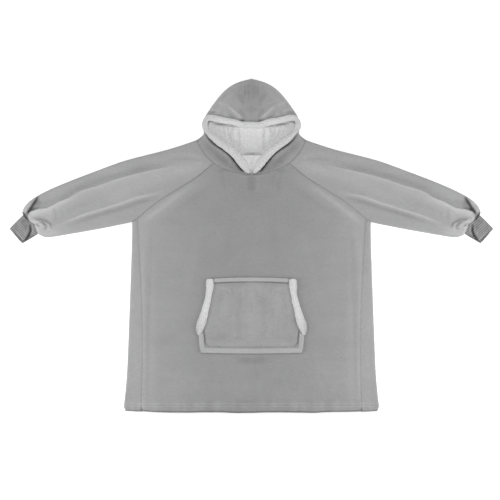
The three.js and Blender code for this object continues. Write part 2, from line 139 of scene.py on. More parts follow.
# Every point's distance to a rounded line in mm, its side of it, and how far along it lies.
# The garment is the same on both sides, so lines are given for +X alone.
def besideLine(points, path):
    flat = np.abs(points[:, :1]) * [1, 0] / mm + points[:, 1:2] * [0, 1] / mm
    line = roundedLine(path)
    start, step = line[:-1], np.diff(line, axis=0)
    away = flat[:, None] - start
    share = np.clip((away * step).sum(2) / (step**2).sum(1), 0, 1)
    distance = np.linalg.norm(away - share[..., None] * step, axis=2)
    near = distance.argmin(1)
    rows = np.arange(len(flat))
    side = step[near, 0] * away[rows, near, 1] - step[near, 1] * away[rows, near, 0]
    return distance[rows, near], side, (near + share[rows, near]) / len(start)


# Soft ridges and troughs: height, reach on the left and on the right of the line, and the line
def creaseLift(points, creases):
    lift = np.zeros(len(points))
    for height, left, right, path in creases:
        distance, side, along = besideLine(points, path)
        fade = np.clip(np.minimum(along, 1 - along) * 5, 0, 1) * 0.8 + 0.2
        lift += height * mm * fade * np.exp(-((distance / np.where(side > 0, left, right)) ** 2))
    return lift


def copyOf(node, name, finishes):
    piece = bpy.data.objects.new(name, frame["nodes"][node].data.copy())
    bpy.context.scene.collection.objects.link(piece)
    piece.data.materials.clear()
    for finish in finishes:
        piece.data.materials.append(finish)
    return piece


# The outer skin of a packed wall: merged, cut free at its sharp rims and turned back into quads
def skinFrom(node, name, finishes, top, cuts=(), levels=3, sharp=56):
    piece = copyOf(node, name, finishes)
    editMode(piece)
    bpy.ops.mesh.select_all(action="SELECT")
    bpy.ops.mesh.remove_doubles(threshold=0.02 * mm)
    bpy.ops.mesh.select_mode(type="EDGE")
    bpy.ops.mesh.select_all(action="DESELECT")
    bpy.ops.mesh.edges_select_sharp(sharpness=math.radians(sharp))
    bpy.ops.mesh.mark_seam()
    bpy.ops.mesh.select_mode(type="FACE")
    bpy.ops.mesh.select_all(action="DESELECT")
    objectMode()
    way = 1 if top else -1
    facing = [face for face in piece.data.polygons if way * face.normal.z > 0.9]
    max(facing, key=lambda face: (round(way * face.center.z, 5), face.area)).select = True
    bpy.ops.object.mode_set(mode="EDIT")
    bpy.ops.mesh.select_linked(delimit={"SEAM"})
    bpy.ops.mesh.select_all(action="INVERT")
    bpy.ops.mesh.delete(type="FACE")
    bpy.ops.mesh.select_all(action="SELECT")
    bpy.ops.mesh.fill_holes(sides=3)
    bpy.ops.mesh.select_all(action="SELECT")
    bpy.ops.mesh.mark_seam(clear=True)
    bpy.ops.mesh.tris_convert_to_quads(
        face_threshold=math.radians(50), shape_threshold=math.radians(60)
    )
    for place, normal in cuts:
        bpy.ops.mesh.select_all(action="SELECT")
        bpy.ops.mesh.bisect(plane_co=place, plane_no=normal)
    objectMode()
    keepCorners(piece)
    applyModifier(
        piece, "SUBSURF", levels=levels, render_levels=levels, boundary_smooth="PRESERVE_CORNERS"
    )
    return piece


# The two points of every edge on an open rim, and the middle of the face beside it
def rimEdges(piece):
    mesh = piece.data
    uses = np.empty(len(mesh.loops), int)
    mesh.loops.foreach_get("edge_index", uses)
    ends = np.empty(len(mesh.edges) * 2, int)
    mesh.edges.foreach_get("vertices", ends)
    corners = np.empty(len(mesh.polygons), int)
    mesh.polygons.foreach_get("loop_total", corners)
    middles = np.empty(len(mesh.polygons) * 3)
    mesh.polygons.foreach_get("center", middles)
    onRim = (np.bincount(uses, minlength=len(mesh.edges)) == 1)[uses]
    owners = np.repeat(np.arange(len(corners)), corners)[onRim]
    return ends.reshape(-1, 2)[uses[onRim]], middles.reshape(-1, 3)[owners]


# Rim points where the cut turns sharply stay where they are when the skin is subdivided
def keepCorners(piece):
    points = readPoints(piece)
    nearby = {}
    for a, b in rimEdges(piece)[0]:
        nearby.setdefault(a, []).append(b)
        nearby.setdefault(b, []).append(a)
    editMode(piece, "VERT")
    objectMode()
    for corner, others in nearby.items():
        if len(others) == 2:
            before, after = points[corner] - points[others[0]], points[others[1]] - points[corner]
            turn = before @ after / (np.linalg.norm(before) * np.linalg.norm(after))
            piece.data.vertices[int(corner)].select = bool(turn < math.cos(math.radians(28)))
    bpy.ops.object.mode_set(mode="EDIT")
    bpy.ops.transform.vert_crease(value=1)
    objectMode()


# How far every point is from the rim of its skin
def rimDistance(piece, keep=lambda points: points[:, 0] > -9):
    points = readPoints(piece)
    ends = rimEdges(piece)[0]
    ends = ends[keep(points[ends].mean(axis=1))]
    shares = np.arange(6)[:, None, None] / 6
    rim = (points[ends[:, 0]] * (1 - shares) + points[ends[:, 1]] * shares).reshape(-1, 3)
    tree = kdtree.KDTree(len(rim))
    for index, point in enumerate(rim):
        tree.insert(point, index)
    tree.balance()
    return np.array([tree.find(point)[2] for point in points])


# Lets the sewn rims run on a little, so that neighbouring pieces meet without a gap
def closeSeams(piece, sewn, reach=0.6 * mm):
    points = readPoints(piece)
    ends, beside = rimEdges(piece)
    middles = points[ends].mean(axis=1)
    along = points[ends[:, 1]] - points[ends[:, 0]]
    along /= np.linalg.norm(along, axis=1)[:, None]
    outward = middles - beside
    outward -= (outward * along).sum(1)[:, None] * along
    outward /= np.linalg.norm(outward, axis=1)[:, None]
    kept = sewn(middles)
    push = np.zeros_like(points)
    for end in (0, 1):
        np.add.at(push, ends[kept, end], outward[kept])
    movePoints(piece, points + push * reach / np.maximum(np.linalg.norm(push, axis=1), 0.5)[:, None])


# Patches of painted shade and painted highlight, some where the pile lies another way: how much, middle and
# reach
def shadeAndNapPatches(points, patches, seed):
    flat = points[:, :2] / mm
    flat[:, 0] = np.abs(flat[:, 0])
    total = np.zeros(len(points))
    for amount, middle, reach in patches:
        total += amount * np.exp(-(((flat - middle) / reach) ** 2).sum(1))
    return total * (1 + 0.6 * softNoise(points * [1.7, 0.7, 1], 0.014, seed))


# Gives a skin its real thickness, inwards, with a rounded rim. The lining side takes slot 1.
def thicken(piece, thickness, rimOnly=False, rounded=0.22 * mm):
    applyModifier(
        piece,
        "SOLIDIFY",
        thickness=thickness,
        offset=-1,
        use_rim=True,
        use_rim_only=rimOnly,
        material_offset=0 if rimOnly else 1,
        material_offset_rim=0,
    )
    if rounded:
        applyModifier(
            piece,
            "BEVEL",
            width=rounded,
            segments=2,
            limit_method="ANGLE",
            angle_limit=math.radians(62),
        )


# Divides the large faces that look up, beyond a distance from the middle, to hold fine folds
def refine(piece, largest, beyond=0):
    for _ in range(3):
        editMode(piece)
        objectMode()
        for face in piece.data.polygons:
            outer = abs(face.center.x) > beyond
            face.select = outer and face.normal.z > 0.25 and face.area > largest
        bpy.ops.object.mode_set(mode="EDIT")
        bpy.ops.mesh.subdivide(number_cuts=1, smoothness=0)
        objectMode()


def shadeSmooth(piece, angle=60):
    selectOnly(piece)
    bpy.ops.object.shade_smooth_by_angle(angle=math.radians(angle))


def finishPiece(piece, nodes):
    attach(piece, "root")
    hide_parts(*nodes)
    size = sum(len(face.vertices) - 2 for face in piece.data.polygons)
    area = sum(face.area for face in piece.data.polygons)
    print(f"{piece.name}: {size} triangles, {area:.4f} square metres")


# Finishes

def addNode(tree, kind, inputs=None, **values):
    node = tree.nodes.new(kind)
    for name, value in values.items():
        setattr(node, name, value)
    for name, value in (inputs or {}).items():
        if isinstance(value, bpy.types.NodeSocket):
            tree.links.new(value, node.inputs[name])
        else:
            node.inputs[name].default_value = value
    return node


def mathNode(tree, operation, *values):
    return addNode(
        tree, "ShaderNodeMath", dict(enumerate(values)), operation=operation
    ).outputs[0]


def rangeNode(tree, value, low, high, to=(0, 1), smooth=True):
    return addNode(
        tree,
        "ShaderNodeMapRange",
        {"Value": value, "From Min": low, "From Max": high, "To Min": to[0], "To Max": to[1]},
        interpolation_type="SMOOTHSTEP" if smooth else "LINEAR",
    ).outputs["Result"]


def noiseNode(tree, vector, size, detail=2.0, rough=0.5, twist=0.0):
    return addNode(
        tree,
        "ShaderNodeTexNoise",
        {
            "Vector": vector,
            "Scale": 1 / size,
            "Detail": detail,
            "Roughness": rough,
            "Distortion": twist,
        },
    ).outputs["Fac"]


def startGroup(name, inputs, outputs):
    group = bpy.data.node_groups.new(name, "ShaderNodeTree")
    for label, kind in inputs:
        group.interface.new_socket(label, in_out="INPUT", socket_type="NodeSocket" + kind)
    for label, kind in outputs:
        group.interface.new_socket(label, in_out="OUTPUT", socket_type="NodeSocket" + kind)
    return group, group.nodes.new("NodeGroupInput").outputs, group.nodes.new("NodeGroupOutput")


# Mix has several sockets called A, B and Result, so the colour ones are named by their place
def mixColours(tree, factor, a, b, blend="MIX"):
    node = tree.nodes.new("ShaderNodeMix")
    node.data_type = "RGBA"
    node.blend_type = blend
    for index, value in ((0, factor), (6, a), (7, b)):
        if isinstance(value, bpy.types.NodeSocket):
            tree.links.new(value, node.inputs[index])
        else:
            node.inputs[index].default_value = value
    return node.outputs[2]


# Painted shade down in folds and painted highlight along ridges
def shadeByFold(group, paintedShading):
    return mathNode(
        group,
        "ADD",
        rangeNode(group, paintedShading, -4.0, 0.0, (-0.8, 0.0), smooth=False),
        rangeNode(group, paintedShading, 0.0, 2.4, (0.0, 0.4), smooth=False),
    )


# Brushed short pile: cloudy where the nap lies another way, finely grained, with grooves at seams. The seam
# lines get painted shade, and the painted shading input darkens folds and lightens ridges.
def makeNapGroup():
    group, given, out = startGroup(
        "brushedNap",
        [("Vector", "Vector"), ("Colour", "Color"), ("Cloud", "Float"), ("Seam", "Float"),
         ("Fold", "Float")],
        [("Colour", "Color"), ("Height", "Float")],
    )
    vector = given["Vector"]
    stretched = addNode(
        group, "ShaderNodeMapping", {"Vector": vector, "Scale": (1, 1.5, 1)}
    ).outputs[0]
    clouds = rangeNode(group, noiseNode(group, stretched, 0.11, 3.0, 0.55), 0.3, 0.7, (-1, 1))
    brush = rangeNode(group, noiseNode(group, stretched, 0.016, 2.0, 0.6), 0.25, 0.75, (-1, 1))
    tufts = noiseNode(group, vector, 0.0032, 2.0, 0.6)
    fibres = noiseNode(group, vector, 0.0011, 1.0)
    cloudy = mathNode(group, "MULTIPLY", clouds, given["Cloud"])
    brushAndShadeStrokes = mathNode(group, "MULTIPLY", brush, mathNode(group, "MULTIPLY", given["Cloud"], 0.45))
    grain = rangeNode(group, tufts, 0.3, 0.7, (-0.055, 0.055))
    # painted shade along the seam lines
    seamDark = rangeNode(group, given["Seam"], 0.0004, 0.003, (0.95, 1.0))
    foldShade = shadeByFold(group, given["Fold"])
    shade = mathNode(group, "ADD", mathNode(group, "ADD", cloudy, brushAndShadeStrokes), grain)
    shade = mathNode(group, "ADD", shade, foldShade)
    shade = mathNode(group, "MULTIPLY", mathNode(group, "ADD", shade, 1.0), seamDark)
    group.links.new(mixColours(group, 1.0, given["Colour"], shade, "MULTIPLY"), out.inputs[0])
    pile = mathNode(
        group,
        "ADD",
        mathNode(group, "MULTIPLY", tufts, 0.0011),
        mathNode(group, "MULTIPLY", fibres, 0.0004),
    )
    groove = rangeNode(group, given["Seam"], 0.0, 0.005, (0.0, 0.0009))
    height = mathNode(group, "ADD", mathNode(group, "ADD", pile, groove), 0.0)
    height = mathNode(group, "ADD", height, mathNode(group, "MULTIPLY", brush, 0.0005))
    group.links.new(height, out.inputs[1])
    return group


# Sherpa: small round curls with shaded gaps between them
def makeCurlGroup():
    group, given, out = startGroup(
        "sherpaCurls",
        [("Vector", "Vector"), ("Colour", "Color"), ("Curl", "Float"), ("Depth", "Float"),
         ("Fold", "Float")],
        [("Colour", "Color"), ("Height", "Float")],
    )
    wander = addNode(group, "ShaderNodeTexNoise", {"Vector": given["Vector"], "Scale": 130.0})
    pushed = addNode(
        group,
        "ShaderNodeVectorMath",
        {0: wander.outputs["Color"], 1: (0.004, 0.004, 0.004), 2: given["Vector"]},
        operation="MULTIPLY_ADD",
    ).outputs[0]
    perMetre = mathNode(group, "DIVIDE", 1.0, given["Curl"])
    curls = addNode(
        group,
        "ShaderNodeTexVoronoi",
        {"Vector": pushed, "Scale": perMetre, "Smoothness": 0.5},
        feature="SMOOTH_F1",
    ).outputs["Distance"]
    wisps = addNode(
        group,
        "ShaderNodeTexVoronoi",
        {"Vector": pushed, "Scale": mathNode(group, "MULTIPLY", perMetre, 2.7)},
    ).outputs["Distance"]
    dome = rangeNode(group, curls, 0.75, 0.1)
    wisp = rangeNode(group, wisps, 0.8, 0.1)
    height = mathNode(
        group,
        "ADD",
        mathNode(group, "MULTIPLY", dome, given["Depth"]),
        mathNode(group, "MULTIPLY", wisp, mathNode(group, "MULTIPLY", given["Depth"], 0.4)),
    )
    shade = mathNode(
        group,
        "ADD",
        rangeNode(group, dome, 0.0, 0.8, (0.92, 1.0)),
        rangeNode(group, wisp, 0.0, 1.0, (-0.03, 0.02)),
    )
    # painted shade in folds and painted highlight on ridges, as on the plush
    shade = mathNode(group, "ADD", shade, shadeByFold(group, given["Fold"]))
    group.links.new(mixColours(group, 1.0, given["Colour"], shade, "MULTIPLY"), out.inputs[0])
    group.links.new(height, out.inputs[1])
    return group


# Rib knit: raised ribs with rows of small slanted stitches, with painted shade in the rib valleys and
# folds. The vector counts ribs and stitches.
def makeKnitGroup():
    group, given, out = startGroup(
        "ribKnit",
        [("Vector", "Vector"), ("Colour", "Color"), ("Place", "Vector"), ("Fold", "Float")],
        [("Colour", "Color"), ("Height", "Float")],
    )
    parts = addNode(group, "ShaderNodeSeparateXYZ", {0: given["Vector"]}).outputs
    turned = mathNode(group, "MULTIPLY", parts[0], 2 * math.pi)
    valley = mathNode(group, "COSINE", turned)
    lean = mathNode(group, "ABSOLUTE", mathNode(group, "SINE", turned))
    slant = mathNode(group, "ADD", parts[1], mathNode(group, "MULTIPLY", lean, 0.35))
    rows = mathNode(group, "SINE", mathNode(group, "MULTIPLY", slant, 2 * math.pi))
    loops = rangeNode(group, rows, -1.0, 1.0)
    fuzz = noiseNode(group, given["Place"], 0.0025, 3.0, 0.6)
    shade = mathNode(
        group,
        "ADD",
        rangeNode(group, loops, 0.0, 1.0, (0.93, 1.02)),
        rangeNode(group, fuzz, 0.3, 0.7, (-0.06, 0.06)),
    )
    # painted shade in the rib valleys and painted highlight on the rib crests
    shade = mathNode(group, "MULTIPLY", shade, rangeNode(group, valley, 0.0, 1.0, (1.1, 0.6)))
    folded = mathNode(group, "ADD", shadeByFold(group, given["Fold"]), 1.0)
    shade = mathNode(group, "MULTIPLY", shade, folded)
    group.links.new(mixColours(group, 1.0, given["Colour"], shade, "MULTIPLY"), out.inputs[0])
    height = mathNode(
        group,
        "ADD",
        mathNode(group, "MULTIPLY", loops, 0.0003),
        mathNode(group, "MULTIPLY", fuzz, 0.0004),
    )
    height = mathNode(group, "ADD", height, mathNode(group, "MULTIPLY", valley, -0.0006))
    group.links.new(height, out.inputs[1])
    return group


def startFinish(name, colour, sheen, sheenRough, rough=0.95):
    finish = bpy.data.materials.new(name)
    finish.use_nodes = True
    tree = finish.node_tree
    shader = tree.nodes["Principled BSDF"]
    shader.inputs["Base Color"].default_value = (*colour, 1)
    shader.inputs["Roughness"].default_value = rough
    shader.inputs["Specular IOR Level"].default_value = 0.15
    shader.inputs["Sheen Weight"].default_value = sheen
    shader.inputs["Sheen Roughness"].default_value = sheenRough
    return finish, tree, shader


def placeGroup(tree, shader, group, bumpStrength=1.0, **inputs):
    node = tree.nodes.new("ShaderNodeGroup")
    node.node_tree = group
    for name, value in inputs.items():
        if isinstance(value, bpy.types.NodeSocket):
            tree.links.new(value, node.inputs[name])
        else:
            node.inputs[name].default_value = value
    tree.links.new(node.outputs["Colour"], shader.inputs["Base Color"])
    bump = addNode(
        tree,
        "ShaderNodeBump",
        {"Height": node.outputs["Height"], "Distance": 1.0, "Strength": bumpStrength},
    )
    tree.links.new(bump.outputs[0], shader.inputs["Normal"])
    return node


def grey(value):
    return (value, value, value * 1.01)


napGroup = makeNapGroup()
curlGroup = makeCurlGroup()
knitGroup = makeKnitGroup()


# Brushed plush in one tone, with painted shade and highlight read from the piece. Its seams come from the
# piece's own distance to its rim.
def makePlush(name, tone, cloud=0.022, sheen=0.35, hemLines=()):
    finish, tree, shader = startFinish(name, grey(tone), sheen, 0.45)
    place = addNode(tree, "ShaderNodeTexCoord").outputs["Object"]
    seam = addNode(tree, "ShaderNodeAttribute", attribute_name="seamDistance").outputs["Fac"]
    # the hem lines take the same painted shade and groove as the seams
    if hemLines:
        across = addNode(tree, "ShaderNodeSeparateXYZ", {0: place}).outputs["Y"]
        for line in hemLines:
            away = mathNode(tree, "ABSOLUTE", mathNode(tree, "SUBTRACT", across, line))
            seam = mathNode(tree, "MINIMUM", seam, mathNode(tree, "ADD", away, 0.0012))
    paintedShading = addNode(tree, "ShaderNodeAttribute", attribute_name="paintedShading").outputs["Fac"]
    placeGroup(
        tree, shader, napGroup, Vector=place, Colour=(*grey(tone), 1), Cloud=cloud, Seam=seam,
        Fold=paintedShading,
    )
    return finish


def makeSherpa(name, tone, curl=0.006, depth=0.0016, folded=True):
    finish, tree, shader = startFinish(name, grey(tone), 0.25, 0.6, 1.0)
    place = addNode(tree, "ShaderNodeTexCoord").outputs["Object"]
    paintedShading = 0.0
    if folded:
        paintedShading = addNode(tree, "ShaderNodeAttribute", attribute_name="paintedShading").outputs["Fac"]
    placeGroup(
        tree, shader, curlGroup, Vector=place, Colour=(*grey(tone), 1), Curl=curl, Depth=depth,
        Fold=paintedShading,
    )
    return finish


def makeKnit(name, tone):
    finish, tree, shader = startFinish(name, grey(tone), 0.2, 0.5)
    knit = addNode(tree, "ShaderNodeAttribute", attribute_name="knit").outputs["Vector"]
    paintedShading = addNode(tree, "ShaderNodeAttribute", attribute_name="paintedShading").outputs["Fac"]
    place = addNode(tree, "ShaderNodeTexCoord").outputs["Object"]
    placeGroup(
        tree, shader, knitGroup, Vector=knit, Colour=(*grey(tone), 1), Place=place, Fold=paintedShading
    )
    return finish


# Sewing thread, twisted: a light and dark spiral along each stitch
def makeThread(name, tone):
    finish, tree, shader = startFinish(name, grey(tone), 0.1, 0.5, 0.7)
    place = addNode(tree, "ShaderNodeTexCoord").outputs["Object"]
    twist = addNode(
        tree,
        "ShaderNodeTexWave",
        {"Vector": place, "Scale": 900.0, "Distortion": 1.0},
        bands_direction="DIAGONAL",
    ).outputs["Fac"]
    shade = rangeNode(tree, twist, 0.0, 1.0, (0.8, 1.05))
    tree.links.new(
        mixColours(tree, 1.0, (*grey(tone), 1), shade, "MULTIPLY"), shader.inputs["Base Color"]
    )
    bump = addNode(tree, "ShaderNodeBump", {"Height": twist, "Distance": 0.0002})
    tree.links.new(bump.outputs[0], shader.inputs["Normal"])
    return finish


hem = {"lines": (-0.5585, -0.5685)}
# One plush throughout: the sleeves and hood get lighter tones than the body to paint in the extra light
# that falls on them
bodyPlush = makePlush("bodyPlush", 0.315, hemLines=hem["lines"])
sleevePlush = makePlush("sleevePlush", 0.37)
hoodPlush = makePlush("hoodPlush", 0.375, cloud=0.035)
pocketPlush = makePlush("pocketPlush", 0.36, cloud=0.04)
bindingPlush = makePlush("bindingPlush", 0.45, cloud=0.03)
innerFleece = makeSherpa("innerFleece", 0.92, 0.007, 0.001, folded=False)
trimSherpa = makeSherpa("trimSherpa", 0.75)
liningFleece = makeSherpa("liningFleece", 0.76, 0.0075, 0.0009)
cuffKnit = makeKnit("cuffKnit", 0.285)
thread = makeThread("thread", 0.36)
print("finishes made")


# Front and back of the body

body = {
    "thickness": 5 * mm,
    "ripples": 0.4 * mm,
    "hemPuckers": 1.7 * mm,
    "hemWaves": 1.4 * mm,
    # paler is painted highlight towards the sides, besideSeam painted highlight beside the seams, hemShade
    # painted shade along the hem
    "paler": 0.7,
    "besideSeam": 0.45,
    "hemShade": 3.2,
    "valley": 0.45 * mm,
    "valleyReach": 7 * mm,
    "sewn": lambda rim: (rim[:, 2] > 6 * mm) & (rim[:, 1] > -0.578),
    "patches": [
        (-0.35, (0, -404), (46, 9)),
        (-0.3, (0, 205), (60, 45)),
        (0.25, (330, 60), (40, 60)),
        (0.3, (410, -250), (30, 330)),
        (0.3, (150, -490), (190, 75)),
        (0.7, (388, -556), (8, 9)),
        (0.35, (0, -562), (420, 10)),
    ],
    # Strokes of painted highlight and painted shade, such as bright ridge lines and dark lines under edges
    "brushAndShadeStrokes": [  # lighter and darker strokes, in the same form as the creases
        (1.0, 2.2, 2.2, [(-120, -554), (150, -554), (500, -554)]),
        (0.5, 3, 3, [(-120, -564), (150, -564), (500, -564)]),
        (1.2, 9, 9, [(386, 80), (348, 108), (308, 138), (258, 176), (200, 214)]),
        (-0.9, 2, 2, [(62, 258), (42, 252), (20, 247), (-8, 246)]),
        (0.6, 2, 2, [(60, 252), (40, 247), (20, 242), (-8, 241)]),
        (-0.5, 3, 3, [(92, 242), (90, 225), (86, 200)]),
        (-0.4, 3, 3, [(350, 62), (352, -60), (358, -200), (361, -420)]),
    ],
    "lowest": 10.4 * mm,
    "cuts": [((0, -0.548, 0), (0, 1, 0)), ((0, -0.573, 0), (0, 1, 0))],
    "creases": [
        (-1.4, 9, 9, [(352, 70), (358, -60), (362, -260), (363, -440), (364, -575)]),
        (0.9, 6, 7, [(376, 60), (379, -80), (377, -260), (376, -440), (378, -560)]),
        (-1.8, 6, 5, [(120, 262), (101, 264), (80, 268)]),
        (-1.0, 7, 7, [(104, 255), (98, 225), (92, 190)]),
        (-0.8, 6, 6, [(82, 258), (79, 235), (78, 205)]),
        (0.9, 7, 7, [(92, 255), (87, 225), (84, 195)]),
        (-1.6, 15, 15, [(0, 252), (0, 225), (0, 190)]),
        (0.8, 9, 9, [(26, 250), (24, 225), (20, 185)]),
        (-0.8, 10, 10, [(150, 205), (215, 160), (290, 105)]),
        (0.6, 14, 14, [(180, 60), (205, -60), (235, -190)]),
        (-0.5, 16, 12, [(60, 120), (78, 20), (90, -80)]),
        (-1.6, 8, 9, [(0, -403), (26, -402), (54, -399)]),
        (0.7, 8, 6, [(188, -392), (120, -398), (70, -396)]),
        (-0.6, 10, 14, [(250, -300), (300, -330), (350, -345)]),
        (0.5, 8, 8, [(210, -430), (280, -446), (352, -440)]),
        (-0.5, 7, 7, [(60, -470), (130, -482), (200, -474)]),
    ],
    "undersideCreases": [
        (2.2, 14, 10, [(380, 90), (300, 60), (190, 40), (70, 52)]),
        (1.8, 9, 13, [(60, -120), (160, -170), (290, -190), (380, -176)]),
        (2.0, 12, 12, [(400, -330), (290, -360), (170, -350)]),
        (1.6, 10, 10, [(40, -470), (150, -450), (260, -462)]),
        (2.0, 12, 9, [(110, 250), (160, 190), (180, 120)]),
    ],
}


def layCloth(piece, settings, seed, ripple=(0.7, 0.35)):
    points = readPoints(piece)
    raised = ease(points[:, 2], 5.5 * mm, 9 * mm)
    distance = rimDistance(piece, settings["sewn"])
    lift = creaseLift(points, settings["creases"])
    if "hemPuckers" in settings:
        low = ease(points[:, 1], -0.586, -0.576) * (1 - ease(points[:, 1], -0.552, -0.532))
        lift += settings["hemPuckers"] * low * softNoise(points * [1, 0.3, 1], 0.013, seed + 6)
    wide = points * [1, 1.8, 1]
    if "ripples" in settings:
        across = softNoise(points * [0.3, 3.4, 1], 0.045, seed + 4)
        down = softNoise(points * [3.0, 0.3, 1], 0.045, seed + 5)
        side = ease(np.abs(points[:, 0]), 0.12, 0.24)
        low = (1 - side) * (1 - ease(points[:, 1], -0.42, -0.33))
        lift += settings["ripples"] * (across * side + down * low)
    # Painted light and shade for the finish: highlight towards the sides, patches and strokes of shade and
    # highlight, shade along the hem, highlight beside the seams, and shade in the troughs and highlight on
    # the ridges of the creases
    paler = settings["paler"] * ease(np.abs(points[:, 0]), 0.1, 0.4)
    paler += shadeAndNapPatches(points, settings.get("patches", []), seed + 7)
    paler += creaseLift(points, settings.get("brushAndShadeStrokes", [])) / mm
    if "hemShade" in settings:
        hemRim = rimDistance(piece, lambda rim: rim[:, 1] < -0.5745)
        paler -= settings["hemShade"] * (1 - ease(hemRim, 0, 8 * mm))
    if "besideSeam" in settings:
        near = (1 - ease(distance, 26 * mm, 62 * mm)) * ease(np.abs(points[:, 0]), 0.1, 0.2)
        paler += settings["besideSeam"] * near
    paint(piece, "paintedShading", lift * raised / (3 * mm) + paler)
    lift += ripple[0] * mm * softNoise(wide, 0.11, seed)
    lift += ripple[1] * mm * softNoise(wide, 0.042, seed + 1)
    lift *= ease(distance, 0, 14 * mm) * 0.8 + 0.2
    lift -= settings["valley"] * (1 - ease(distance, 0, settings["valleyReach"]))
    moved = points.copy()
    moved[:, 2] += lift * raised
    low = (raised > 0.5) & (moved[:, 2] < settings["lowest"])
    moved[low, 2] = settings["lowest"] * 0.7 + moved[low, 2] * 0.3
    if "undersideCreases" in settings:
        under = creaseLift(points, settings["undersideCreases"])
        under += 0.5 * mm * np.abs(softNoise(wide, 0.06, seed + 2))
        moved[:, 2] += under * (1 - ease(points[:, 2], 0.5 * mm, 4 * mm))
    if "hemWaves" in settings:
        low = 1 - ease(points[:, 1], -0.584, -0.55)
        moved[:, 1] += settings["hemWaves"] * low * softNoise(points * [1, 0, 0], 0.055, 8)
    movePoints(piece, moved)
    closeSeams(piece, settings["sewn"])
    paint(piece, "seamDistance", distance)
    return piece


front = skinFrom("front", "front_cloth", (bodyPlush, innerFleece), top=True, cuts=body["cuts"])
layCloth(front, {**body, "undersideCreases": []}, 11)
back = skinFrom("back", "back_cloth", (bodyPlush, innerFleece), top=False, cuts=body["cuts"])
layCloth(back, body, 21)
for piece in (front, back):
    thicken(piece, body["thickness"])
    shadeSmooth(piece)
points, normals = readPoints(back), readPoints(back, "normal")
inside = (normals[:, 2] > 0.7) & (points[:, 2] < 9 * mm) & (points[:, 1] > 0.2)
beyond = np.abs(points[:, 0]) - 6 * mm - 0.75 * (points[:, 1] - 0.255)
strip = ease(points[:, 1], 0.248, 0.27) * (1 - ease(beyond, 0, 13 * mm))
points[:, 2] += 11 * mm * strip * inside
movePoints(back, points)
finishPiece(front, ["front"])
finishPiece(back, ["back"])


# Sleeves

